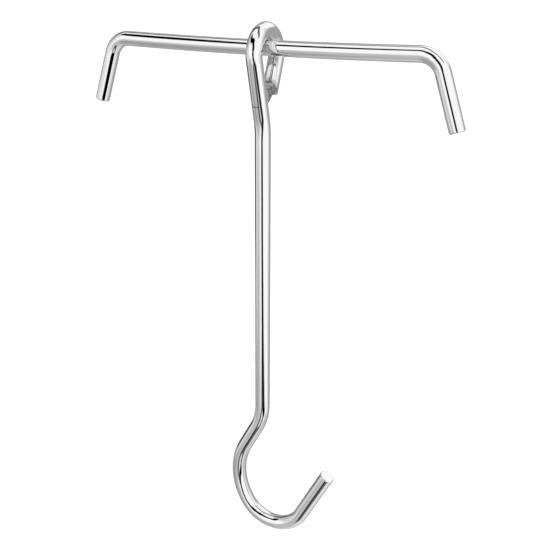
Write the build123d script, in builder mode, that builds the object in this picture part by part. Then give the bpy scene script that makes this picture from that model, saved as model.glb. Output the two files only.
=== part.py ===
"""Meat hook that hangs on its own crossbar: one rod bent into a closed eye, a long shank and an open
bight, looped round a second rod whose two ends are bent down as feet.

Frame: the origin is the crossbar's centre, +X runs along the crossbar and +Z is up, in millimetres.
The hook hangs square to the bar and swings about the bar's axis."""

from build123d import *
from math import asin, atan, degrees, radians, tan
import os

# Rods
bar_dia = 7.5
hook_dia = 8.0
end_break = 0.6  # rounding of each square-cut rod end

# Crossbar: a slightly bowed bar between two splayed legs
bar_half_span = 86.2  # centre to the corner where bar and leg would meet
bar_bow = 1.15  # how far the middle of the bar lies below its ends
bar_bend_radius = 11.3
leg_length = 34.0  # from that corner to the cut end
leg_splay = 18.7  # outwards from straight down, degrees

# Eye: a teardrop round the bar, in the plane square to it
hook_x = 2.0  # where the hook hangs along the bar
eye_clearance = 0.3  # between the crown's underside and the top of the bar
crown_radius = 10.9
front_lean = 14.3  # front strand, from the crown in to the shank, degrees
front_length = 32.6  # crown to the corner where front strand and shank would meet
shank_bend_radius = 43.0
back_lean = 22.0  # back strand, from the crown in to the weld, degrees
back_length = 15.8

# Shank and bight: a straight shank, a set-back bend, and a bight that opens towards +X
shank_drop = 193.5  # crown centre down to the corner of the set-back bend
set_back_turn = 28.3
set_back_radius = 31.3
set_back_length = 14.9
side_turn = 60.2
side_radius = 35.8
foot_turn = 120.5
foot_radius = 19.7
tip_length = 33.5

# Weld: a lump that fills the space between the strands and runs from the cut end down to the shank
weld_half_width = 3.9
weld_rounding = 2.0
weld_top = -12.5
weld_saddle = -15.5  # lowest point of its top, halfway between the strands
weld_foot = -26.0  # where its underside runs out on the shank

half_bar, half_hook = bar_dia / 2, hook_dia / 2
crown_z = half_bar + eye_clearance + half_hook - crown_radius

# Crossbar: half of the rod's centreline, mirrored
bend_trim = bar_bend_radius * tan(radians(45 - leg_splay / 2))
bow_radius = bar_half_span**2 / (2 * bar_bow)
bow_turn = degrees(asin((bar_half_span - bend_trim) / bow_radius))

with BuildPart() as crossbar:
    with BuildLine(Plane.XZ) as bar_path:
        bow = JernArc((0, 0), (1, 0), bow_radius, bow_turn)
        bend = JernArc(bow @ 1, bow % 1, bar_bend_radius, leg_splay - 90 - bow_turn)
        Line(bend @ 1, bend @ 1 + (bend % 1) * (leg_length - bend_trim))
        mirror(about=Plane.YZ)
    bar_wire = bar_path.wire()
    with BuildSketch(Plane(bar_wire @ 0, z_dir=bar_wire % 0)):
        Circle(half_bar)
    sweep(path=bar_wire)
    fillet(crossbar.faces().filter_by(GeomType.PLANE).edges(), end_break)

# Hook, drawn with its shank upright: the eye square to the bar, the bight in the bar's plane
set_back_trim = set_back_radius * tan(radians(set_back_turn / 2))

with BuildPart() as upright_hook:
    with BuildLine(Plane.YZ.offset(hook_x)) as eye_path:
        crown = CenterArc((0, crown_z), crown_radius, -back_lean, 180 + back_lean + front_lean)
        Line(crown @ 0 - (crown % 0) * back_length, crown @ 0)
        shank_top = crown @ 1 + (crown % 1) * front_length
        shank_end = Vector(hook_x, shank_top.Y, crown_z - shank_drop + set_back_trim)
        FilletPolyline(crown @ 1, shank_top, shank_end, radius=shank_bend_radius)
    with BuildLine(Plane.XZ.offset(-shank_top.Y)) as bight_path:
        set_back = JernArc(shank_end, (0, -1), set_back_radius, -set_back_turn)
        run = Line(set_back @ 1, set_back @ 1 + (set_back % 1) * set_back_length)
        side = JernArc(run @ 1, run % 1, side_radius, side_turn)
        foot = JernArc(side @ 1, side % 1, foot_radius, foot_turn)
        Line(foot @ 1, foot @ 1 + (foot % 1) * tip_length)
    hook_wire = Wire(eye_path.edges() + bight_path.edges())
    with BuildSketch(Plane(hook_wire @ 0, z_dir=hook_wire % 0)):
        Circle(half_hook)
    sweep(path=hook_wire)
    fillet(upright_hook.faces().filter_by(GeomType.PLANE).edges(), end_break)

# Weld, shaped between the upright strands and cut back to their surfaces
cut_end = hook_wire @ 0
weld_lip = (cut_end.Y + 0.8, cut_end.Z - 0.3)  # on the cut end, just past its middle
front_top, front_low = (-6.0, weld_top), (-8.0, weld_top)
shank_foot, shank_low = (-1.6, weld_foot), (-5.0, weld_foot)
back_top = (5.5, weld_top)

with BuildPart() as upright_weld:
    with BuildSketch(Plane.YZ.offset(hook_x)):
        with BuildLine():
            Line(back_top, weld_lip)
            ThreePointArc(weld_lip, (0.8, -22.7), shank_foot)
            Polyline(shank_foot, shank_low, front_low, front_top)
            ThreePointArc(front_top, (-0.5, weld_saddle), back_top)
        make_face()
    extrude(amount=weld_half_width, both=True)
    fillet(upright_weld.edges().filter_by(GeomType.CIRCLE), weld_rounding)
    add(upright_hook.part, mode=Mode.SUBTRACT)

# The hook hangs with its centre of mass straight below the bar's axis
heavy = upright_hook.part.volume * upright_hook.part.center(CenterOf.MASS)
light = upright_weld.part.volume * upright_weld.part.center(CenterOf.MASS)
balance = heavy + light
hang_angle = degrees(atan(balance.Y / balance.Z))

with BuildPart() as hook:
    add(upright_hook.part, rotation=(hang_angle, 0, 0))

with BuildPart() as eye_weld:
    add(upright_weld.part, rotation=(hang_angle, 0, 0))

crossbar.part.label = "crossbar"
hook.part.label = "hook"
eye_weld.part.label = "eye_weld"

os.makedirs("parts", exist_ok=True)
export_step(crossbar.part, "parts/crossbar.step")
export_step(hook.part, "parts/hook.step")
export_step(eye_weld.part, "parts/eye_weld.step")
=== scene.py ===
"""Meat hook: the look of its two polished steel rods and of the weld that closes the eye.

Both rods are surfaces carried along the same centrelines as in the CAD model, with rounded, slightly
dished cut ends. The weld is a rippled bead in the gap between the eye's two strands. The rods hang in a
white light tent with dark seams, which draw the thin dark line that runs along them."""

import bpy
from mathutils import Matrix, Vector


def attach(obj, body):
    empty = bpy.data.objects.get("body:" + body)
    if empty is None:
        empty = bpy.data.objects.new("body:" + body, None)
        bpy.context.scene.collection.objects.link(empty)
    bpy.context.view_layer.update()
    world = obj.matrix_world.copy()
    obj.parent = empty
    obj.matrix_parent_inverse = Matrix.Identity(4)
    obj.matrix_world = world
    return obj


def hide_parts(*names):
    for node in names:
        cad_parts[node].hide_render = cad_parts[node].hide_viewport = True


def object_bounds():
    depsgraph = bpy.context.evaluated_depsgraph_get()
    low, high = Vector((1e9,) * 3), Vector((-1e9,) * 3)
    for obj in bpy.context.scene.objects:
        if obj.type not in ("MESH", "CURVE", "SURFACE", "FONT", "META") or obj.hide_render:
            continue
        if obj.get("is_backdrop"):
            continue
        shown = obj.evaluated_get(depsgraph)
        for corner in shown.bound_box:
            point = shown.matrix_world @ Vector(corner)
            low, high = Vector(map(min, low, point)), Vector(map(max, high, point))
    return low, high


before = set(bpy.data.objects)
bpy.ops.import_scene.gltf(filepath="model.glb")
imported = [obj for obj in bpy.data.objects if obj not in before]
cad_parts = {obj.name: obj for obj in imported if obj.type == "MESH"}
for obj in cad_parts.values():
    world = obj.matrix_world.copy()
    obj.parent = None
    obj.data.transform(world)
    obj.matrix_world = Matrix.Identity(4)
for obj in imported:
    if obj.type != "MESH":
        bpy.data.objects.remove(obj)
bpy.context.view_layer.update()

from math import acos, asin, cos, degrees, pi, radians, sin, tan

import bpy
import numpy as np
from mathutils import Matrix, Vector

bl_info = {
    "name": "Meat Hook",
    "version": (1, 0, 0),
    "blender": (4, 5, 0),
    "location": "View3D > Sidebar > Meat Hook",
    "description": "Builds the crossbar, the hook, its weld and a light tent round them",
    "category": "Object",
}

ALONG_X = np.array((1.0, 0.0, 0.0))
ALONG_Y = np.array((0.0, 1.0, 0.0))

# The fine score below the weld: its distance along the hook's rod, from the cut end in the eye, the
# direction round the rod that it faces, half the turn that it spans, its half-width and its depth
SCORE_DISTANCE = 0.0777
SCORE_SIDE = 1.9
SCORE_HALF_TURN = pi / 4
SCORE_HALF_WIDTH = 0.00016
SCORE_DEPTH = 0.00003

# Lengths of the drawn surface's two slow waves along a rod, and half the length over which the flattening
# of a bend fades
LONG_WAVE = 0.031
SHORT_WAVE = 0.0113
BEND_FADE = 0.0025


# ---------------------------------------------------------------- sizes and finishes

def length(name, description, default):
    """A length property in metres."""
    return bpy.props.FloatProperty(
        name=name, description=description, default=default, precision=5, unit="LENGTH"
    )


def angle(name, description, default_degrees):
    """An angle property, given in degrees and kept in radians."""
    return bpy.props.FloatProperty(
        name=name, description=description, default=radians(default_degrees), subtype="ANGLE"
    )


def colour(name, description, default):
    """A colour property."""
    return bpy.props.FloatVectorProperty(
        name=name, description=description, default=default, size=3, min=0.0, max=1.0, subtype="COLOR"
    )


def share(name, description, default):
    """A plain number from 0 to 1."""
    return bpy.props.FloatProperty(name=name, description=description, default=default, min=0.0, max=1.0)


class MeatHookCrossbarSizes(bpy.types.PropertyGroup):
    diameter: length("Diameter", "Diameter of the crossbar's rod", 0.0075)
    half_span: length("Half Span", "Centre to the corner where bar and leg would meet", 0.0862)
    bow: length("Bow", "How far the middle of the bar lies below its ends", 0.00115)
    bend_radius: length("Bend Radius", "Radius of the two bends", 0.0113)
    leg: length("Leg", "From that corner to the cut end", 0.034)
    splay: angle("Splay", "Lean of each leg, outwards from straight down", 18.7)


class MeatHookHookSizes(bpy.types.PropertyGroup):
    diameter: length("Diameter", "Diameter of the hook's rod", 0.008)
    offset: length("Offset", "Where the hook hangs along the bar", 0.002)
    eye_gap: length("Eye Gap", "Between the crown's underside and the top of the bar", 0.0003)
    crown_radius: length("Crown Radius", "Radius of the top of the eye", 0.0109)
    front_lean: angle("Front Lean", "Lean of the front strand", 14.3)
    front_length: length("Front Length", "Crown to the corner at the top of the shank", 0.0326)
    shank_bend_radius: length("Shank Bend Radius", "Radius of the bend at the top of the shank", 0.043)
    back_lean: angle("Back Lean", "Lean of the back strand", 22.0)
    back_length: length("Back Length", "Straight part of the back strand", 0.0158)
    shank_drop: length("Shank Drop", "Crown's centre down to the corner of the set-back bend", 0.1935)
    set_back_turn: angle("Set-back Turn", "Turn of the set-back bend", 28.3)
    set_back_radius: length("Set-back Radius", "Radius of the set-back bend", 0.0313)
    set_back_length: length("Set-back Length", "Straight run after the set-back bend", 0.0149)
    side_turn: angle("Side Turn", "Turn of the bight's side", 60.2)
    side_radius: length("Side Radius", "Radius of the bight's side", 0.0358)
    foot_turn: angle("Foot Turn", "Turn of the bight's bottom", 120.5)
    foot_radius: length("Foot Radius", "Radius of the bight's bottom", 0.0197)
    tip_length: length("Tip Length", "Straight run up to the tip", 0.0335)
    hang_angle: angle("Hang Angle", "Turn that brings the centre of mass under the bar", 0.92219)


class MeatHookWeldSizes(bpy.types.PropertyGroup):
    half_width: length("Half Width", "Half the bead's width across the strands", 0.00425)
    slope: bpy.props.FloatProperty(
        name="Slope", description="Fall of the bead's top edge over the back strand", default=0.95
    )
    top: length("Top", "Height of the bead's top against the strands", -0.0128)
    saddle: length("Saddle", "Height of the bead's top halfway between the strands", -0.0155)
    lip: length("Lip", "Height of the bead's underside at the cut end", -0.0219)
    foot: length("Foot", "Height where the bead runs out on the shank", -0.0258)
    front: length("Front", "How far the bead reaches into the front strand", -0.0070)
    back: length("Back", "How far the bead reaches round the back strand", 0.0082)
    ripple: length("Ripple", "Height of the ripples", 0.00002)
    ripple_pitch: length("Ripple Pitch", "Distance from one ripple to the next", 0.0016)
    lumps: length("Lumps", "Height of the uneven lumps", 0.00035)


class MeatHookRodFinish(bpy.types.PropertyGroup):
    rim: length("Rim", "Rounding of each cut end", 0.0006)
    dish: length("Dish", "How far the middle of a cut end is pressed in", 0.00015)
    waviness: length("Waviness", "How far the drawn surface swells and shrinks", 0.000012)
    ovality: share("Ovality", "How much a bend flattens the rod", 0.012)
    steel: colour("Steel", "Polished steel", (0.80, 0.80, 0.80))
    steel_shade: colour("Steel Shade", "Polished steel in its duller streaks", (0.72, 0.72, 0.725))
    cut_steel: colour("Cut Steel", "Bare steel of the cut ends", (0.86, 0.86, 0.855))
    polish: share("Polish", "Roughness of the polished surface", 0.045)
    cut_roughness: share("Cut Roughness", "Roughness of the cut ends", 0.16)
    tint_pale: colour("Pale Tint", "Faint heat tint farthest from the weld", (0.68, 0.67, 0.655))
    # Dark heat tint next to the weld, which also carries painted shade of the crevice where the strands
    # meet the bead
    dark_heat_tint_and_painted_shade: colour("Dark Tint", "Heat tint next to the weld", (0.30, 0.29, 0.29))
    # Painted shade: a near-black line laid into the fine score below the weld
    score: colour("Score", "Bottom of the fine score below the weld", (0.06, 0.06, 0.06))


class MeatHookWeldFinish(bpy.types.PropertyGroup):
    dark: colour("Dark", "Scale in the bead's hollows", (0.17, 0.168, 0.166))
    light: colour("Light", "Brushed metal on the bead's crests", (0.50, 0.495, 0.49))
    dirt: colour("Dirt", "Dull film left in patches on the bead", (0.26, 0.25, 0.245))
    roughness: share("Roughness", "Roughness of the bead", 0.40)


class MeatHookStudio(bpy.types.PropertyGroup):
    azimuth: angle("Azimuth", "Camera's direction round the hook, from the front towards +X", 28.036)
    elevation: angle("Elevation", "Camera's height above the horizon", 19.359)
    roll: angle("Roll", "Camera's turn about its own axis", 0.836)
    distance: length("Distance", "Camera to the point it aims at", 0.42813)
    aim_right: length("Aim Right", "Point that the camera aims at, along the crossbar", 0.00911)
    aim_height: length("Aim Height", "Height of the point that the camera aims at", -0.11246)
    lens: bpy.props.FloatProperty(name="Lens", description="Focal length", default=54.65, unit="CAMERA")
    floor_drop: length("Floor Drop", "Gap between the hook's lowest point and the floor", 0.30)
    floor_size: length("Floor Size", "Width of the floor", 60.0)
    floor_colour: colour("Floor", "Pale floor", (0.93, 0.93, 0.93))
    floor_shade: colour("Floor Shade", "Pale floor in its duller patches", (0.90, 0.90, 0.90))
    tent_white: bpy.props.FloatProperty(
        name="Tent White", description="Brightness of the tent's front", default=1.2, min=0.0
    )
    tent_grey: bpy.props.FloatProperty(
        name="Tent Grey", description="Brightness of the tent's back", default=0.45, min=0.0
    )
    overhead: bpy.props.FloatProperty(
        name="Overhead", description="Strength of the soft light from overhead", default=1.6, min=0.0
    )
    overhead_spread: angle("Overhead Spread", "How wide a part of the sky that light comes from", 120)


# ---------------------------------------------------------------- centrelines

def follow(moves, start, heading, distances):
    """Points, headings and bends at some distances along a flat path of straight runs and arcs.

    Each move is (length, turn). Within a move the heading grows evenly with the distance, and the chord
    from its start is the distance times sin(half the turn) / (half the turn), along the mean heading."""
    lengths, turns = np.array(moves, float).T
    bends = turns / lengths
    begins = np.concatenate(([0.0], np.cumsum(lengths)[:-1]))
    headings = heading + np.concatenate(([0.0], np.cumsum(turns)[:-1]))

    def chords(travelled, first_heading, bend):
        chord = travelled * np.sinc(bend * travelled / (2 * pi))
        mean = first_heading + bend * travelled / 2
        return np.stack((chord * np.cos(mean), chord * np.sin(mean)), axis=-1)

    corners = np.array(start, float) + np.concatenate(
        (np.zeros((1, 2)), np.cumsum(chords(lengths, headings, bends), axis=0)[:-1])
    )
    move = np.clip(np.searchsorted(begins, distances, side="right") - 1, 0, len(lengths) - 1)
    travelled = distances - begins[move]
    points = corners[move] + chords(travelled, headings[move], bends[move])
    return points, headings[move] + bends[move] * travelled, bends[move]


def path_length(moves):
    return sum(move[0] for move in moves)


def crossbar_half(sizes):
    """Moves from the middle of the crossbar to its right leg's end: the bow, a bend and a leg."""
    trim = sizes.bend_radius * tan(radians(45) - sizes.splay / 2)
    bow_radius = sizes.half_span**2 / (2 * sizes.bow)
    bow_turn = asin((sizes.half_span - trim) / bow_radius)
    bend_turn = pi / 2 - sizes.splay + bow_turn
    return [
        (bow_radius * bow_turn, bow_turn),
        (sizes.bend_radius * bend_turn, -bend_turn),
        (sizes.leg - trim, 0.0),
    ]


def crossbar_centreline(sizes):
    """The crossbar's length, and a function that gives its centreline from the left leg's end on.

    The right half lies in the upright XZ plane, and the left half is its mirror image. The function
    returns points, tangents, the two directions across the rod, the bend, and where on the rod's
    outline the bend's inside lies."""
    moves = crossbar_half(sizes)
    half = path_length(moves)

    def centreline(distances):
        side = np.where(distances < half, -1.0, 1.0)
        flat, heading, bend = follow(moves, (0.0, 0.0), 0.0, np.abs(distances - half))
        level = np.zeros(len(flat))
        points = np.stack((side * flat[:, 0], level, flat[:, 1]), axis=1)
        tangents = np.stack((np.cos(heading), level, side * np.sin(heading)), axis=1)
        across = np.broadcast_to(ALONG_Y, points.shape)
        return points, tangents, across, np.cross(tangents, across), np.abs(bend), level + pi / 2

    return 2 * half, centreline


def hook_moves(sizes, crown_height):
    """The hook's centreline drawn with its shank upright: where it starts and its moves through the eye
    down to the end of the shank, in a YZ plane, then its moves through the bight, in an XZ plane."""
    start_heading = pi / 2 - sizes.back_lean
    crown_turn = pi + sizes.back_lean + sizes.front_lean
    crown_start = np.array((cos(sizes.back_lean), -sin(sizes.back_lean))) * sizes.crown_radius
    back = np.array((cos(start_heading), sin(start_heading))) * sizes.back_length
    start = crown_start - back + np.array((0.0, crown_height))
    trim = sizes.shank_bend_radius * tan(sizes.front_lean / 2)
    corner_height = (
        crown_height
        - sizes.crown_radius * sin(sizes.front_lean)
        - sizes.front_length * cos(sizes.front_lean)
    )
    set_back_trim = sizes.set_back_radius * tan(sizes.set_back_turn / 2)
    shank_end = crown_height - sizes.shank_drop + set_back_trim
    eye = [
        (sizes.back_length, 0.0),
        (sizes.crown_radius * crown_turn, crown_turn),
        (sizes.front_length - trim, 0.0),
        (sizes.shank_bend_radius * sizes.front_lean, -sizes.front_lean),
        (corner_height - trim - shank_end, 0.0),
    ]
    bight = [
        (sizes.set_back_radius * sizes.set_back_turn, -sizes.set_back_turn),
        (sizes.set_back_length, 0.0),
        (sizes.side_radius * sizes.side_turn, sizes.side_turn),
        (sizes.foot_radius * sizes.foot_turn, sizes.foot_turn),
        (sizes.tip_length, 0.0),
    ]
    return start, start_heading, eye, bight, shank_end


def hook_centreline(sizes, bar_diameter):
    """The hook's length, and a function that gives its centreline from the cut end in the eye on.

    The function returns what the crossbar's does."""
    crown_height = (bar_diameter + sizes.diameter) / 2 + sizes.eye_gap - sizes.crown_radius
    start, start_heading, eye, bight, shank_end = hook_moves(sizes, crown_height)
    eye_length = path_length(eye)
    shank_depth = follow(eye, start, start_heading, np.array([eye_length]))[0][0, 0]

    def centreline(distances):
        in_eye = (distances < eye_length)[:, None]
        drawn, heading, bend = follow(eye, start, start_heading, np.minimum(distances, eye_length))
        offset = np.full(len(distances), sizes.offset)
        flat = np.zeros(len(distances))
        eye_points = np.stack((offset, drawn[:, 0], drawn[:, 1]), axis=1)
        eye_tangents = np.stack((flat, np.cos(heading), np.sin(heading)), axis=1)
        past = np.maximum(distances - eye_length, 0.0)
        swung, swing, curl = follow(bight, (sizes.offset, shank_end), -pi / 2, past)
        bight_points = np.stack((swung[:, 0], flat + shank_depth, swung[:, 1]), axis=1)
        bight_tangents = np.stack((np.cos(swing), flat, np.sin(swing)), axis=1)
        points = np.where(in_eye, eye_points, bight_points)
        tangents = np.where(in_eye, eye_tangents, bight_tangents)
        first = np.where(in_eye, ALONG_X, np.cross(-ALONG_Y, tangents))
        second = np.where(in_eye, np.cross(tangents, ALONG_X), -ALONG_Y)
        bends = np.abs(np.where(in_eye[:, 0], bend, curl))
        inside = np.where(in_eye[:, 0], pi / 2, 0.0)
        turned = [leaned(a, sizes.hang_angle) for a in (points, tangents, first, second)]
        return (*turned, bends, inside)

    return eye_length + path_length(bight), centreline


def leaned(points, hang_angle):
    """Points turned about the crossbar's axis by the hang angle."""
    turn = np.array(Matrix.Rotation(hang_angle, 3, "X"))
    return points @ turn.T


# ---------------------------------------------------------------- surfaces

def closed_mesh(name, rings, first_pole, last_pole, attributes):
    """A closed mesh from rings of points, first ring to last, with a fan of triangles at each end.

    The points of a ring go anticlockwise seen from the last ring, so every face points outwards."""
    count, around = rings.shape[:2]
    vertices = np.concatenate((rings.reshape(-1, 3), first_pole[None], last_pole[None]))
    ring, spoke = np.meshgrid(np.arange(count - 1), np.arange(around), indexing="ij")
    here = ring * around
    after = (spoke + 1) % around
    quads = np.stack((here + spoke, here + after, here + around + after, here + around + spoke), axis=-1)
    spokes = np.arange(around)
    nexts = (spokes + 1) % around
    first = np.full(around, count * around)
    top = (count - 1) * around
    first_fan = np.stack((first, nexts, spokes), axis=1)
    last_fan = np.stack((first + 1, top + spokes, top + nexts), axis=1)
    mesh = bpy.data.meshes.new(name)
    faces = quads.reshape(-1, 4).tolist() + first_fan.tolist() + last_fan.tolist()
    mesh.from_pydata(vertices.tolist(), [], faces)
    for attribute, (kind, values) in attributes.items():
        layer = mesh.attributes.new(attribute, kind, "POINT")
        layer.data.foreach_set("vector" if kind == "FLOAT_VECTOR" else "value", values.ravel())
    mesh.shade_smooth()
    mesh.validate()
    mesh.update()
    return mesh


def rod_rings(total, radius, finish, spacing, extra):
    """Distances, radii and cut-end shares of a rod's rings, from one cut end to the other.

    A cut end is a flat disc pressed in by the dish, deepest in the middle, and a quarter circle of the
    rim's radius that joins it to the side."""
    disc = np.array((0.15, 0.35, 0.55, 0.75, 0.9, 0.97))
    quarter = np.linspace(0, pi / 2, 8)
    flat_radius = radius - finish.rim
    end_distances = np.concatenate((finish.dish * (1 - disc**2), finish.rim * (1 - np.cos(quarter))))
    end_radii = np.concatenate((flat_radius * disc, flat_radius + finish.rim * np.sin(quarter)))
    end_cut = np.concatenate((np.ones(len(disc)), np.linspace(1, 0, len(quarter))))
    count = int((total - 2 * finish.rim) / spacing)
    body = np.union1d(np.linspace(finish.rim, total - finish.rim, count)[1:-1], extra)
    distances = np.concatenate((end_distances, body, total - end_distances[::-1]))
    radii = np.concatenate((end_radii, np.full(len(body), radius), end_radii[::-1]))
    cut = np.concatenate((end_cut, np.zeros(len(body)), end_cut[::-1]))
    return distances, radii, cut


def rod_surface(name, total, centreline, radius, finish, spacing, around, extra=(), carve=None):
    """A round rod carried along its centreline.

    A point is the centreline's point plus the radius times (cos t, sin t) in the two directions across
    the rod. The radius shrinks by up to the waviness where two slow waves are low, by the ovality times
    bend x radius^2 x cos^2 towards the inside of a bend, and by what carve(distance, t) takes off."""
    distances, radii, cut = rod_rings(total, radius, finish, spacing, np.array(extra))
    points, _, first, second, _, inside = centreline(distances)
    offsets = np.linspace(-BEND_FADE, BEND_FADE, 9)
    nearby = np.clip(distances[:, None] + offsets, 0, total)
    bends = centreline(nearby.ravel())[4].reshape(nearby.shape).mean(axis=1)
    t = np.linspace(0, 2 * pi, around, endpoint=False)
    long_wave = np.sin(distances[:, None] * 2 * pi / LONG_WAVE + 1.3 * np.cos(t))
    short_wave = np.sin(distances[:, None] * 2 * pi / SHORT_WAVE + np.sin(t - 0.8) + 2.1)
    drawn = finish.waviness * (1 - (0.7 * long_wave + 0.3 * short_wave)) / 2
    pressed = finish.ovality * bends[:, None] * radius**2 * np.cos(t - inside[:, None]) ** 2
    taken = (drawn + pressed) * (1 - cut[:, None])
    if carve is not None:
        taken = taken + carve(distances[:, None], t)
    radius_left = radii[:, None] - taken
    outward = np.cos(t)[None, :, None] * first[:, None] + np.sin(t)[None, :, None] * second[:, None]
    rings = points[:, None] + radius_left[..., None] * outward
    poles = centreline(np.array((finish.dish, total - finish.dish)))[0]
    straight = np.stack(
        (
            radius_left * np.cos(t),
            radius_left * np.sin(t),
            np.broadcast_to(distances[:, None], radius_left.shape),
        ),
        axis=-1,
    ).reshape(-1, 3)
    pole_straight = np.array(((0, 0, finish.dish), (0, 0, total - finish.dish)))
    attributes = {
        "straightened": ("FLOAT_VECTOR", np.concatenate((straight, pole_straight))),
        "cut_end": ("FLOAT", np.concatenate((np.repeat(cut, around), np.ones(2)))),
    }
    return closed_mesh(name, rings, poles[0], poles[1], attributes)


def weld_surface(name, sizes, offset, hang_angle):
    """The bead between the eye's strands, as sections square to Y from its front to its back.

    A section is a superellipse: x = w sin(t)^(2/n), z = h cos(t)^(2/n). Its top follows a parabola, the
    saddle, and then falls in a straight slope over the back strand. Its underside rises as 1 - exp(-y)
    from the foot to the cut end, and a little more past it. Both ends close with the root of
    1 - |share|^5, and ripples and lumps stand out along (sin t, cos t)."""
    count, around, power = 170, 160, 3.4
    saddle_end, saddle_rise, shoulder = 0.001, 0.0009, 0.0002
    foot_start, foot_run = -0.0018, 0.0017
    lip_start, lip_slope = 0.004, 0.12
    least_height = 0.0006
    share_along = np.linspace(-1, 1, count + 2)[1:-1]
    y = sizes.front + (sizes.back - sizes.front) * (share_along + 1) / 2
    saddle = sizes.saddle + (sizes.top - sizes.saddle) * (y / sizes.front) ** 2
    slope = sizes.saddle + saddle_rise - sizes.slope * (y - saddle_end)
    top = np.where(y < 0, saddle, np.minimum(sizes.saddle + shoulder, slope))
    rise = 1 - np.exp(-np.maximum(y - foot_start, 0.0) / foot_run)
    under = sizes.foot + (sizes.lip - sizes.foot) * rise + lip_slope * np.maximum(y - lip_start, 0.0)
    bottom = np.minimum(under, top - least_height)
    closing = (1 - np.abs(share_along) ** 5) ** 0.5
    half_height = (top - bottom) / 2 * closing
    half_width = sizes.half_width * closing
    t = np.linspace(0, 2 * pi, around, endpoint=False)
    sine, cosine = np.sin(t), np.cos(t)
    x = half_width[:, None] * np.sign(sine) * np.abs(sine) ** (2 / power)
    z = half_height[:, None] * np.sign(cosine) * np.abs(cosine) ** (2 / power)
    height = (top + bottom)[:, None] / 2 + z
    # The waves below are in radians per metre, and wander so that no two ripples look alike
    wander = 1.1 * np.sin(900 * y)[:, None] + 0.9 * np.sin(1100 * height + 2 * sine)
    ripple = np.sin(2 * pi * (height + 0.35 * y[:, None]) / sizes.ripple_pitch + wander)
    rising = np.sin(1450 * height + 900 * y[:, None] + 1.0)
    lump = rising * np.sin(1250 * y[:, None] - 600 * height - 2 * sine)
    raised = (sizes.ripple * (ripple - 1) + sizes.lumps * (lump - 1) / 2) * closing[:, None]
    rings = np.stack(
        (
            offset + x + raised * sine,
            np.broadcast_to(y[:, None], x.shape),
            height + raised * cosine,
        ),
        axis=-1,
    )
    ends = (
        np.array((offset, sizes.front, (top[0] + bottom[0]) / 2)),
        np.array((offset, sizes.back, (top[-1] + bottom[-1]) / 2)),
    )
    crest = np.concatenate(((0.5 + 0.25 * ripple + 0.25 * lump).ravel(), (0.5, 0.5)))
    turned = [leaned(part, hang_angle) for part in (rings, *ends)]
    return closed_mesh(name, *turned, {"crest": ("FLOAT", crest)})


# ---------------------------------------------------------------- node helpers

def add_node(tree, kind, inputs=None, **settings):
    """A node with its settings made and its inputs linked or set, by name or by place."""
    node = tree.nodes.new(kind)
    for key, value in settings.items():
        setattr(node, key, value)
    for key, value in (inputs or {}).items():
        if isinstance(value, bpy.types.NodeSocket):
            tree.links.new(value, node.inputs[key])
        else:
            node.inputs[key].default_value = value
    return node


def calculate(tree, operation, *values, clamp=False):
    """A Math node's output."""
    node = add_node(tree, "ShaderNodeMath", dict(enumerate(values)), operation=operation, use_clamp=clamp)
    return node.outputs[0]


def vector_math(tree, operation, *values):
    """A Vector Math node."""
    return add_node(tree, "ShaderNodeVectorMath", dict(enumerate(values)), operation=operation)


def remap(tree, value, low, high, to_low=0.0, to_high=1.0, smooth=True):
    """A value moved from one range to another, clamped, with soft ends if smooth."""
    inputs = {"Value": value, "From Min": low, "From Max": high, "To Min": to_low, "To Max": to_high}
    kind = "SMOOTHSTEP" if smooth else "LINEAR"
    return add_node(tree, "ShaderNodeMapRange", inputs, interpolation_type=kind).outputs["Result"]


def mix_colours(tree, factor, first, second):
    """First colour where the factor is 0, second where it is 1."""
    node = add_node(tree, "ShaderNodeMix", data_type="RGBA")
    for socket, value in zip((node.inputs[0], node.inputs[6], node.inputs[7]), (factor, first, second)):
        if isinstance(value, bpy.types.NodeSocket):
            tree.links.new(value, socket)
        else:
            socket.default_value = value
    return node.outputs[2]


def opaque(rgb):
    return (*rgb, 1.0)


def new_group(name, inputs, outputs):
    """A shader node group with named sockets, and its input and output nodes.

    Inputs map a name to its default: a number, or three numbers for a vector. Outputs are floats."""
    group = bpy.data.node_groups.new(name, "ShaderNodeTree")
    for label, default in inputs.items():
        kind = "NodeSocketVector" if isinstance(default, tuple) else "NodeSocketFloat"
        socket = group.interface.new_socket(name=label, in_out="INPUT", socket_type=kind)
        socket.default_value = default
    for label in outputs:
        group.interface.new_socket(name=label, in_out="OUTPUT", socket_type="NodeSocketFloat")
    return group, group.nodes.new("NodeGroupInput").outputs, group.nodes.new("NodeGroupOutput")


def stretched_noise(tree, position, fine, along, detail, distortion=0.0):
    """Noise with one size round the rod and another along it."""
    scale = add_node(tree, "ShaderNodeCombineXYZ", {0: fine, 1: fine, 2: along}).outputs[0]
    scaled = vector_math(tree, "DIVIDE", position, scale).outputs[0]
    inputs = {"Vector": scaled, "Scale": 1.0, "Detail": detail, "Roughness": 0.6, "Distortion": distortion}
    return add_node(tree, "ShaderNodeTexNoise", inputs).outputs["Fac"]


def drawn_grain_group():
    """Lines left by drawing and polishing: noise that is fine round the rod and long along it."""
    inputs = {"Position": (0.0, 0.0, 0.0), "Line Width": 0.0001, "Line Length": 0.01}
    group, given, made = new_group("Drawn Grain", inputs, ("Height", "Streaks"))
    fine = stretched_noise(group, given["Position"], given["Line Width"], given["Line Length"], 3.0)
    broad_width = calculate(group, "MULTIPLY", given["Line Width"], 7.0)
    broad_length = calculate(group, "MULTIPLY", given["Line Length"], 2.5)
    broad = stretched_noise(group, given["Position"], broad_width, broad_length, 2.0, 0.3)
    group.links.new(fine, made.inputs["Height"])
    group.links.new(remap(group, broad, 0.35, 0.7), made.inputs["Streaks"])
    return group


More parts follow.
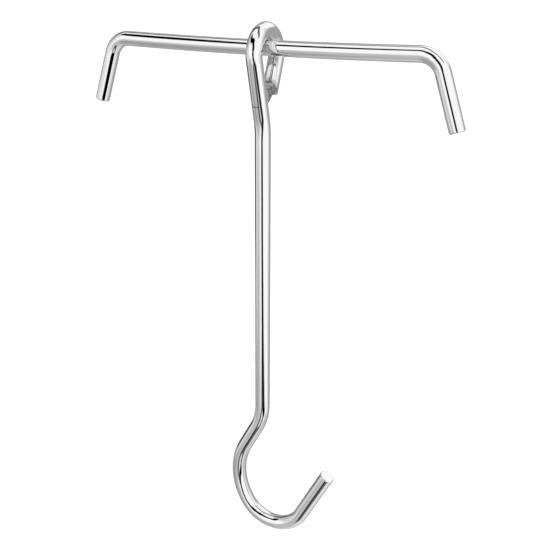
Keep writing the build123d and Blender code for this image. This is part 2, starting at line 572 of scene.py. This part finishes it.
def hairline_scratches_group():
    """Thin scratches at a slant: where two slanted noises cross a narrow band of values."""
    inputs = {"Position": (0.0, 0.0, 0.0), "Spacing": 0.001, "Amount": 0.5}
    group, given, made = new_group("Hairline Scratches", inputs, ("Mask",))
    masks = []
    for slant in (0.9, -0.6):
        turning = {"Vector": given["Position"], "Angle": slant}
        turned = add_node(group, "ShaderNodeVectorRotate", turning, rotation_type="X_AXIS").outputs[0]
        long_side = calculate(group, "MULTIPLY", given["Spacing"], 9.0)
        noise = stretched_noise(group, turned, given["Spacing"], long_side, 1.0)
        off_centre = calculate(group, "ABSOLUTE", calculate(group, "SUBTRACT", noise, 0.56))
        masks.append(remap(group, off_centre, 0.0, 0.006, 1.0, 0.0))
    both = calculate(group, "MAXIMUM", *masks)
    patch_width = calculate(group, "MULTIPLY", given["Spacing"], 6.0)
    patch_length = calculate(group, "MULTIPLY", given["Spacing"], 12.0)
    patches = stretched_noise(group, given["Position"], patch_width, patch_length, 2.0)
    limit = calculate(group, "SUBTRACT", 0.75, calculate(group, "MULTIPLY", given["Amount"], 0.35))
    shown = remap(group, patches, limit, calculate(group, "ADD", limit, 0.08))
    group.links.new(calculate(group, "MULTIPLY", both, shown), made.inputs["Mask"])
    return group


def handling_haze_group():
    """Dull patches where the steel is handled: soft, uneven noise, broken up by a finer one."""
    inputs = {"Position": (0.0, 0.0, 0.0), "Patch Size": 0.01, "Amount": 0.5}
    group, given, made = new_group("Handling Haze", inputs, ("Mask",))
    patch_length = calculate(group, "MULTIPLY", given["Patch Size"], 2.0)
    patch = stretched_noise(group, given["Position"], given["Patch Size"], patch_length, 3.0, 0.6)
    speck_size = calculate(group, "MULTIPLY", given["Patch Size"], 0.08)
    speck = stretched_noise(group, given["Position"], speck_size, speck_size, 2.0)
    limit = calculate(group, "SUBTRACT", 0.75, calculate(group, "MULTIPLY", given["Amount"], 0.4))
    broad = remap(group, patch, limit, calculate(group, "ADD", limit, 0.2))
    broken = calculate(group, "MULTIPLY", broad, remap(group, speck, 0.3, 0.6, 0.6, 1.0))
    group.links.new(broken, made.inputs["Mask"])
    return group


def nearness_group():
    """How near a point is to a place: 1 within the inner radius, 0 past the outer, uneven between."""
    inputs = {
        "Position": (0.0, 0.0, 0.0), "Place": (0.0, 0.0, 0.0),
        "Inner": 0.005, "Outer": 0.01, "Unevenness": 0.002,
    }
    group, given, made = new_group("Nearness", inputs, ("Mask",))
    gap = vector_math(group, "DISTANCE", given["Position"], given["Place"]).outputs["Value"]
    noise_inputs = {"Vector": given["Position"], "Scale": 450.0, "Detail": 3.0}
    noise = add_node(group, "ShaderNodeTexNoise", noise_inputs).outputs["Fac"]
    shift = calculate(group, "MULTIPLY", calculate(group, "SUBTRACT", noise, 0.5), given["Unevenness"])
    wobbly = calculate(group, "ADD", gap, shift)
    group.links.new(remap(group, wobbly, given["Inner"], given["Outer"], 1.0, 0.0), made.inputs["Mask"])
    return group


def shared_group(name):
    """A shared effect's node group, made the first time it is asked for."""
    makers = {
        "Drawn Grain": drawn_grain_group,
        "Hairline Scratches": hairline_scratches_group,
        "Handling Haze": handling_haze_group,
        "Nearness": nearness_group,
        "Tent Strip": tent_strip_group,
        "Tent Patch": tent_patch_group,
    }
    return bpy.data.node_groups.get(name) or makers[name]()


def placed_group(tree, name, **inputs):
    """The outputs of a shared group placed in a tree, with its inputs given as Socket_Name=value."""
    named = {key.replace("_", " "): value for key, value in inputs.items()}
    return add_node(tree, "ShaderNodeGroup", named, node_tree=shared_group(name)).outputs


# ---------------------------------------------------------------- materials

def new_material(name):
    """A material with an empty node tree but for its Principled BSDF, and that shader."""
    material = bpy.data.materials.new(name)
    material.use_nodes = True
    tree = material.node_tree
    tree.nodes.clear()
    shader = tree.nodes.new("ShaderNodeBsdfPrincipled")
    output = tree.nodes.new("ShaderNodeOutputMaterial")
    tree.links.new(shader.outputs[0], output.inputs["Surface"])
    return material, tree, shader


# Mask of the painted shade in the score
def score_mask(tree, straight):
    """Where the fine score lies on the straightened rod: near its distance, on the side it faces."""
    parts = add_node(tree, "ShaderNodeSeparateXYZ", {0: straight}).outputs
    gap = calculate(tree, "ABSOLUTE", calculate(tree, "SUBTRACT", parts["Z"], SCORE_DISTANCE))
    near = remap(tree, gap, 0.00012, 0.00042, 1.0, 0.0)
    facing = vector_math(tree, "DOT_PRODUCT", straight, (cos(SCORE_SIDE), sin(SCORE_SIDE), 0.0))
    return calculate(tree, "MULTIPLY", near, remap(tree, facing.outputs["Value"], 0.0026, 0.0031))


def scratch_marks(tree, straight, place, wear_place, wear_radius):
    """Masks of the scratches, sparse all over and dense where the rods rub, and of the rubbed place."""
    scratches = placed_group(tree, "Hairline Scratches", Position=straight, Spacing=0.0022, Amount=0.35)
    worn = placed_group(
        tree, "Nearness", Position=place, Place=wear_place,
        Inner=wear_radius * 0.4, Outer=wear_radius, Unevenness=wear_radius * 0.8,
    )["Mask"]
    rubbed = placed_group(tree, "Hairline Scratches", Position=place, Spacing=0.0005, Amount=0.9)
    rub = calculate(tree, "MULTIPLY", worn, rubbed["Mask"])
    return calculate(tree, "MAXIMUM", scratches["Mask"], rub), worn


def heat_tint_and_painted_shade(tree, finish, steel, place, weld_place):
    """Steel tinted by the weld's heat, pale far out and dark close in, and the mask of the dark part. The
    dark part is heat tint together with painted shade of the crevice beside the weld.
    """
    heat = placed_group(
        tree, "Nearness", Position=place, Place=weld_place, Inner=0.0070, Outer=0.0095, Unevenness=0.003
    )["Mask"]
    # The dark part: heat tint together with painted shade of the crevice beside the weld
    scale = placed_group(
        tree, "Nearness", Position=place, Place=weld_place, Inner=0.0045, Outer=0.0065, Unevenness=0.004
    )["Mask"]
    steel = mix_colours(tree, calculate(tree, "MULTIPLY", heat, 0.5), steel, opaque(finish.tint_pale))
    steel = mix_colours(tree, calculate(tree, "MULTIPLY", scale, 0.55), steel, opaque(finish.dark_heat_tint_and_painted_shade))
    return steel, scale


def polished_rod_material(name, finish, wear_place, wear_radius, weld_place=None):
    """Polished stainless rod: drawn grain, hairline scratches and haze, worn where the two rods touch,
    tinted by heat, with painted crevice shade close to the weld and a painted dark line of shade in the
    score below it, and matt with saw lines on its cut ends."""
    material, tree, shader = new_material(name)
    straight = add_node(tree, "ShaderNodeAttribute", attribute_name="straightened").outputs["Vector"]
    cut = add_node(tree, "ShaderNodeAttribute", attribute_name="cut_end").outputs["Fac"]
    place = add_node(tree, "ShaderNodeTexCoord").outputs["Object"]
    grain = placed_group(tree, "Drawn Grain", Position=straight, Line_Width=0.00016, Line_Length=0.03)
    haze = placed_group(tree, "Handling Haze", Position=straight, Patch_Size=0.011, Amount=0.4)
    marks, worn = scratch_marks(tree, straight, place, wear_place, wear_radius)

    streaks = calculate(tree, "MULTIPLY", grain["Streaks"], 0.6)
    dulled = calculate(tree, "MULTIPLY_ADD", haze["Mask"], 0.4, streaks)
    steel = mix_colours(tree, dulled, opaque(finish.steel), opaque(finish.steel_shade))
    if weld_place is not None:
        # scale marks the dark heat tint close to the weld, which also carries painted crevice shade
        steel, scale = heat_tint_and_painted_shade(tree, finish, steel, place, weld_place)
        # Painted shade: the score below the weld is darkened with a near-black line
        painted_score_shade = calculate(tree, "MULTIPLY", score_mask(tree, straight), 0.8)
        steel = mix_colours(tree, painted_score_shade, steel, opaque(finish.score))
    saw = stretched_noise(tree, place, 0.0009, 0.00012, 3.0)
    bare = mix_colours(tree, saw, opaque(finish.steel_shade), opaque(finish.cut_steel))
    shown = mix_colours(tree, cut, steel, bare)
    tree.links.new(shown, shader.inputs["Base Color"])
    shader.inputs["Metallic"].default_value = 1.0

    side_roughness = calculate(tree, "MULTIPLY_ADD", dulled, 0.035, finish.polish)
    side_roughness = calculate(tree, "MULTIPLY_ADD", marks, 0.12, side_roughness)
    side_roughness = calculate(tree, "MULTIPLY_ADD", worn, 0.06, side_roughness)
    if weld_place is not None:
        # Rougher where the dark heat tint with its painted crevice shade lies
        side_roughness = calculate(tree, "MULTIPLY_ADD", scale, 0.16, side_roughness)
    cut_roughness = remap(tree, saw, 0.3, 0.7, finish.cut_roughness * 0.7, finish.cut_roughness * 1.3)
    roughness = remap(tree, cut, 0.0, 1.0, side_roughness, cut_roughness, smooth=False)
    tree.links.new(roughness, shader.inputs["Roughness"])

    lines = calculate(tree, "MULTIPLY", grain["Height"], 0.25)
    scratched = calculate(tree, "MULTIPLY_ADD", marks, -0.1, lines)
    height = remap(tree, cut, 0.0, 1.0, scratched, calculate(tree, "MULTIPLY", saw, 6.0), smooth=False)
    bump = add_node(tree, "ShaderNodeBump", {"Height": height, "Strength": 1.0, "Distance": 0.0000012})
    tree.links.new(bump.outputs[0], shader.inputs["Normal"])
    return material


def weld_material(name, finish):
    """Brushed weld bead: bright crests, dark scale in the hollows, mottled, with a pitted surface."""
    material, tree, shader = new_material(name)
    crest = add_node(tree, "ShaderNodeAttribute", attribute_name="crest").outputs["Fac"]
    place = add_node(tree, "ShaderNodeTexCoord").outputs["Object"]
    mottle_inputs = {"Vector": place, "Scale": 330.0, "Detail": 3.0, "Roughness": 0.5}
    mottle = add_node(tree, "ShaderNodeTexNoise", mottle_inputs).outputs["Fac"]
    pits_inputs = {"Vector": place, "Scale": 2600.0, "Detail": 3.0, "Roughness": 0.7}
    pits = add_node(tree, "ShaderNodeTexNoise", pits_inputs).outputs["Fac"]
    haze = placed_group(tree, "Handling Haze", Position=place, Patch_Size=0.003, Amount=0.7)
    exposed = calculate(tree, "MULTIPLY_ADD", crest, 0.6, calculate(tree, "MULTIPLY", mottle, 0.7))
    bright = remap(tree, exposed, 0.25, 0.95)
    steel = mix_colours(tree, bright, opaque(finish.dark), opaque(finish.light))
    dirt = calculate(tree, "MULTIPLY", haze["Mask"], 0.25)
    tinted = mix_colours(tree, dirt, steel, opaque(finish.dirt))
    tree.links.new(tinted, shader.inputs["Base Color"])
    shader.inputs["Metallic"].default_value = 1.0
    rough = remap(tree, pits, 0.3, 0.7, finish.roughness * 0.7, finish.roughness * 1.35)
    tree.links.new(rough, shader.inputs["Roughness"])
    relief = calculate(tree, "MULTIPLY_ADD", mottle, 2.0, pits)
    bump = add_node(tree, "ShaderNodeBump", {"Height": relief, "Strength": 1.0, "Distance": 0.000012})
    tree.links.new(bump.outputs[0], shader.inputs["Normal"])
    return material


def floor_material(name, studio):
    """A pale, matt floor with hardly visible patches."""
    material, tree, shader = new_material(name)
    place = add_node(tree, "ShaderNodeTexCoord").outputs["Object"]
    haze = placed_group(tree, "Handling Haze", Position=place, Patch_Size=0.4, Amount=0.5)
    pale = mix_colours(tree, haze["Mask"], opaque(studio.floor_colour), opaque(studio.floor_shade))
    tree.links.new(pale, shader.inputs["Base Color"])
    shader.inputs["Roughness"].default_value = 0.85
    return material


# ---------------------------------------------------------------- light tent

def direction(azimuth, elevation):
    """The unit vector towards an azimuth, from the front (-Y) towards +X, and an elevation, in degrees."""
    a, e = radians(azimuth), radians(elevation)
    return Vector((sin(a) * cos(e), -cos(a) * cos(e), sin(e)))


def tent_strip_group():
    """A dark strip of the tent along part of a great circle: 0 on it, 1 away from it.

    A direction is off the strip by its dot product with the circle's normal, and past its ends when
    its dot product with the strip's middle falls below the reach."""
    inputs = {
        "Direction": (0.0, 0.0, 1.0), "Normal": (1.0, 0.0, 0.0), "Middle": (0.0, 0.0, 1.0),
        "Inner": 0.08, "Outer": 0.16, "Reach": 0.9, "Reach End": 0.85, "Depth": 1.0,
    }
    group, given, made = new_group("Tent Strip", inputs, ("Light",))
    side = vector_math(group, "DOT_PRODUCT", given["Direction"], given["Normal"]).outputs["Value"]
    off = calculate(group, "ABSOLUTE", side)
    on_line = remap(group, off, given["Inner"], given["Outer"], 1.0, 0.0)
    middle = vector_math(group, "DOT_PRODUCT", given["Direction"], given["Middle"]).outputs["Value"]
    in_reach = remap(group, middle, given["Reach End"], given["Reach"])
    dark = calculate(group, "MULTIPLY", calculate(group, "MULTIPLY", on_line, in_reach), given["Depth"])
    group.links.new(calculate(group, "SUBTRACT", 1.0, dark), made.inputs["Light"])
    return group


def tent_patch_group():
    """A soft round patch of the tent: its own level inside, and the light that comes in outside."""
    inputs = {
        "Direction": (0.0, 0.0, 1.0), "Middle": (0.0, 0.0, 1.0),
        "Inner": 0.9, "Outer": 0.7, "Level": 0.5, "Light": 1.0,
    }
    group, given, made = new_group("Tent Patch", inputs, ("Light",))
    middle = vector_math(group, "DOT_PRODUCT", given["Direction"], given["Middle"]).outputs["Value"]
    within = remap(group, middle, given["Outer"], given["Inner"])
    light = remap(group, within, 0.0, 1.0, given["Light"], given["Level"], smooth=False)
    group.links.new(light, made.inputs["Light"])
    return group


# Dark seams of the tent, each with its corners as (azimuth, elevation) and the half-width of each of
# its stretches, all in degrees, and its depth from 0 to 1
SEAMS = (
    (
        (
            (-75, 48), (-50, 40), (-28, 43), (-10, 49), (11, 33),
            (15, 10), (12, -8), (27, -23), (45, -33), (64, -37),
        ),
        (6.0, 10.0, 13.0, 12.0, 12.0, 14.0, 7.0, 5.0, 5.0),
        1.0,
    ),
    (
        ((27, -24), (8, -37), (-8, -45), (0, -53), (30, -58), (46, -46), (46, -32)),
        (4.0, 4.0, 4.0, 4.0, 4.0, 4.0),
        0.8,
    ),
    (
        ((75, 45), (60, 78), (-140, 75), (-112, 45), (-120, 5), (-106, -14), (-86, -13)),
        (4.0, 4.0, 4.0, 5.0, 3.5, 3.0),
        0.85,
    ),
)
SEAM_SOFTNESS = 5.0
END_SOFTNESS = 5.0

# Where the tent's white front faces, as (azimuth, elevation) in degrees, and the dot products with that
# direction between which the tent turns from grey to white
TENT_FRONT = (30, 10)
GREY_BELOW = -0.4
WHITE_ABOVE = 0.35

# Soft patches of the tent: middle (azimuth, elevation), inner and outer angle in degrees, and level
PATCHES = (
    ((0, 90), 28, 42, 1.2),
    ((-88, 62), 12, 26, 1.2),
    ((165, 42), 18, 30, 1.2),
    ((30, -75), 20, 50, 0.88),
    ((-44, -44), 24, 44, 0.62),
    ((-66, -42), 15, 29, 0.42),
    ((-66, -5), 13, 27, 0.85),
)


def strip_light(tree, towards, first, last, half_width, depth):
    """A dark strip from one direction to another."""
    start, end = direction(*first), direction(*last)
    middle = (start + end).normalized()
    half_reach = degrees(acos(middle.dot(start)))
    return placed_group(
        tree, "Tent Strip", Direction=towards, Normal=start.cross(end).normalized(), Middle=middle,
        Inner=sin(radians(half_width)), Outer=sin(radians(half_width + SEAM_SOFTNESS)),
        Reach=cos(radians(half_reach)), Reach_End=cos(radians(half_reach + END_SOFTNESS)), Depth=depth,
    )["Light"]


def tent_world(name, studio):
    """The light tent: white in front and grey behind, with soft patches and dark seams.

    The camera itself sees plain white where it looks past the floor."""
    world = bpy.data.worlds.new(name)
    world.use_nodes = True
    tree = world.node_tree
    tree.nodes.clear()
    generated = add_node(tree, "ShaderNodeTexCoord").outputs["Generated"]
    towards = vector_math(tree, "NORMALIZE", generated).outputs[0]
    front = vector_math(tree, "DOT_PRODUCT", towards, direction(*TENT_FRONT)).outputs["Value"]
    light = remap(tree, front, GREY_BELOW, WHITE_ABOVE, studio.tent_grey, studio.tent_white)
    for middle, inner, outer, level in PATCHES:
        light = placed_group(
            tree, "Tent Patch", Direction=towards, Middle=direction(*middle), Light=light,
            Inner=cos(radians(inner)), Outer=cos(radians(outer)), Level=level,
        )["Light"]
    for corners, half_widths, depth in SEAMS:
        for first, last, half_width in zip(corners[:-1], corners[1:], half_widths):
            strip = strip_light(tree, towards, first, last, half_width, depth)
            light = calculate(tree, "MULTIPLY", light, strip)
    seen = add_node(tree, "ShaderNodeLightPath").outputs["Is Camera Ray"]
    strength = remap(tree, seen, 0.0, 1.0, light, studio.tent_white, smooth=False)
    background = add_node(tree, "ShaderNodeBackground", {"Strength": strength})
    background.inputs["Color"].default_value = (1.0, 1.0, 1.0, 1.0)
    output = tree.nodes.new("ShaderNodeOutputWorld")
    tree.links.new(background.outputs[0], output.inputs["Surface"])
    return world


# ---------------------------------------------------------------- operators

def add_piece(mesh, material, body, node):
    """Puts a finished mesh in the scene as a piece that stands for a CAD node."""
    mesh.materials.append(material)
    piece = bpy.data.objects.new(mesh.name, mesh)
    bpy.context.collection.objects.link(piece)
    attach(piece, body)
    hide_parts(node)
    return piece


class MEATHOOK_OT_crossbar(bpy.types.Operator):
    """Builds the crossbar with its two bent-down ends"""

    bl_idname = "meat_hook.crossbar"
    bl_label = "Build Crossbar"

    def execute(self, context):
        sizes = context.scene.meat_hook_crossbar
        finish = context.scene.meat_hook_rods
        total, centreline = crossbar_centreline(sizes)
        mesh = rod_surface(
            "crossbar_rod", total, centreline, sizes.diameter / 2, finish, spacing=0.0009, around=96
        )
        top = (context.scene.meat_hook_hook.offset, 0.0, sizes.diameter / 2)
        material = polished_rod_material("crossbar_polished_steel", finish, top, 0.0035)
        add_piece(mesh, material, "crossbar", "crossbar")
        return {"FINISHED"}


class MEATHOOK_OT_hook(bpy.types.Operator):
    """Builds the hook: eye, shank and bight from one rod"""

    bl_idname = "meat_hook.hook"
    bl_label = "Build Hook"

    def execute(self, context):
        sizes = context.scene.meat_hook_hook
        finish = context.scene.meat_hook_rods
        bar_diameter = context.scene.meat_hook_crossbar.diameter
        total, centreline = hook_centreline(sizes, bar_diameter)
        reach = 0.0006
        fine = np.linspace(SCORE_DISTANCE - reach, SCORE_DISTANCE + reach, 33)

        def carve(distances, t):
            """A fine score across the front of the rod, below the weld."""
            across = np.exp(-(((distances - SCORE_DISTANCE) / SCORE_HALF_WIDTH) ** 2))
            off_side = t - SCORE_SIDE
            part = np.clip(2 * np.cos(off_side * pi / 2 / SCORE_HALF_TURN), 0.0, 1.0)
            return SCORE_DEPTH * across * part * (np.abs(off_side) < SCORE_HALF_TURN)

        mesh = rod_surface(
            "hook_rod", total, centreline, sizes.diameter / 2, finish,
            spacing=0.0009, around=96, extra=fine, carve=carve,
        )
        under_crown = (sizes.offset, 0.0, bar_diameter / 2 + sizes.eye_gap)
        weld = context.scene.meat_hook_weld
        # Centre of the heat tint and of the painted crevice shade, a little above the bead's middle
        weld_place = (sizes.offset, 0.0012, (weld.saddle + weld.foot) / 2 + 0.002)
        material = polished_rod_material(
            "hook_polished_steel", finish, under_crown, 0.0035, weld_place
        )
        add_piece(mesh, material, "hook", "hook")
        return {"FINISHED"}


class MEATHOOK_OT_eye_weld(bpy.types.Operator):
    """Builds the weld bead that closes the eye"""

    bl_idname = "meat_hook.eye_weld"
    bl_label = "Build Eye Weld"

    def execute(self, context):
        hook = context.scene.meat_hook_hook
        mesh = weld_surface("eye_weld_bead", context.scene.meat_hook_weld, hook.offset, hook.hang_angle)
        material = weld_material("weld_bead_steel", context.scene.meat_hook_weld_finish)
        add_piece(mesh, material, "hook", "eye_weld")
        return {"FINISHED"}


class MEATHOOK_OT_stage(bpy.types.Operator):
    """Builds the floor, the overhead light, the light tent and the camera"""

    bl_idname = "meat_hook.stage"
    bl_label = "Build Stage"

    def execute(self, context):
        scene = context.scene
        studio = scene.meat_hook_studio
        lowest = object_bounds()[0]
        half = studio.floor_size / 2
        height = lowest.z - studio.floor_drop
        mesh = bpy.data.meshes.new("pale_floor")
        corners = [(-half, -half), (half, -half), (half, half), (-half, half)]
        mesh.from_pydata([(x, y, height) for x, y in corners], [], [(0, 1, 2, 3)])
        mesh.materials.append(floor_material("pale_floor", studio))
        floor = bpy.data.objects.new("pale_floor", mesh)
        floor.visible_glossy = False
        context.collection.objects.link(floor)
        floor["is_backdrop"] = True

        sky = bpy.data.lights.new("overhead_light", "SUN")
        sky.angle = studio.overhead_spread
        sky.energy = studio.overhead
        overhead = bpy.data.objects.new("overhead_light", sky)
        overhead.visible_glossy = False
        context.collection.objects.link(overhead)

        scene.world = tent_world("light_tent", studio)
        scene.view_settings.view_transform = "Standard"
        self.add_camera(context, studio)
        return {"FINISHED"}

    def add_camera(self, context, studio):
        """A camera at its direction and distance from the point it aims at, turned by its roll."""
        data = bpy.data.cameras.new("camera")
        data.lens = studio.lens
        data.clip_start = 0.01
        data.clip_end = 100.0
        camera = bpy.data.objects.new("camera", data)
        aim = Vector((studio.aim_right, 0.0, studio.aim_height))
        back = direction(degrees(studio.azimuth), degrees(studio.elevation))
        turned = (-back).to_track_quat("-Z", "Y").to_matrix() @ Matrix.Rotation(studio.roll, 3, "Z")
        camera.matrix_world = Matrix.LocRotScale(aim + back * studio.distance, turned, None)
        context.collection.objects.link(camera)
        context.scene.camera = camera


class MEATHOOK_PT_panel(bpy.types.Panel):
    """Sidebar panel that lists the pieces in the order they are built"""

    bl_idname = "MEATHOOK_PT_panel"
    bl_label = "Meat Hook"
    bl_space_type = "VIEW_3D"
    bl_region_type = "UI"
    bl_category = "Meat Hook"

    def draw(self, context):
        for step in STEPS:
            self.layout.operator(step.bl_idname)
        for setting, title in SETTINGS.items():
            box = self.layout.box()
            box.label(text=title)
            group = getattr(context.scene, setting)
            for name in group.__annotations__:
                box.prop(group, name)


STEPS = (MEATHOOK_OT_crossbar, MEATHOOK_OT_hook, MEATHOOK_OT_eye_weld, MEATHOOK_OT_stage)
GROUPS = {
    "meat_hook_crossbar": MeatHookCrossbarSizes,
    "meat_hook_hook": MeatHookHookSizes,
    "meat_hook_weld": MeatHookWeldSizes,
    "meat_hook_rods": MeatHookRodFinish,
    "meat_hook_weld_finish": MeatHookWeldFinish,
    "meat_hook_studio": MeatHookStudio,
}
SETTINGS = {
    "meat_hook_crossbar": "Crossbar",
    "meat_hook_hook": "Hook",
    "meat_hook_weld": "Weld",
    "meat_hook_rods": "Rod Finish",
    "meat_hook_weld_finish": "Weld Finish",
    "meat_hook_studio": "Studio",
}


def register():
    for group in GROUPS.values():
        bpy.utils.register_class(group)
    for step in STEPS:
        bpy.utils.register_class(step)
    bpy.utils.register_class(MEATHOOK_PT_panel)
    for setting, group in GROUPS.items():
        setattr(bpy.types.Scene, setting, bpy.props.PointerProperty(type=group))


def unregister():
    for setting in GROUPS:
        delattr(bpy.types.Scene, setting)
    bpy.utils.unregister_class(MEATHOOK_PT_panel)
    for step in reversed(STEPS):
        bpy.utils.unregister_class(step)
    for group in reversed(list(GROUPS.values())):
        bpy.utils.unregister_class(group)


def main():
    """Builds every piece and the stage."""
    register()
    bpy.ops.meat_hook.crossbar()
    bpy.ops.meat_hook.hook()
    bpy.ops.meat_hook.eye_weld()
    bpy.ops.meat_hook.stage()


if __name__ == "__main__":
    main()
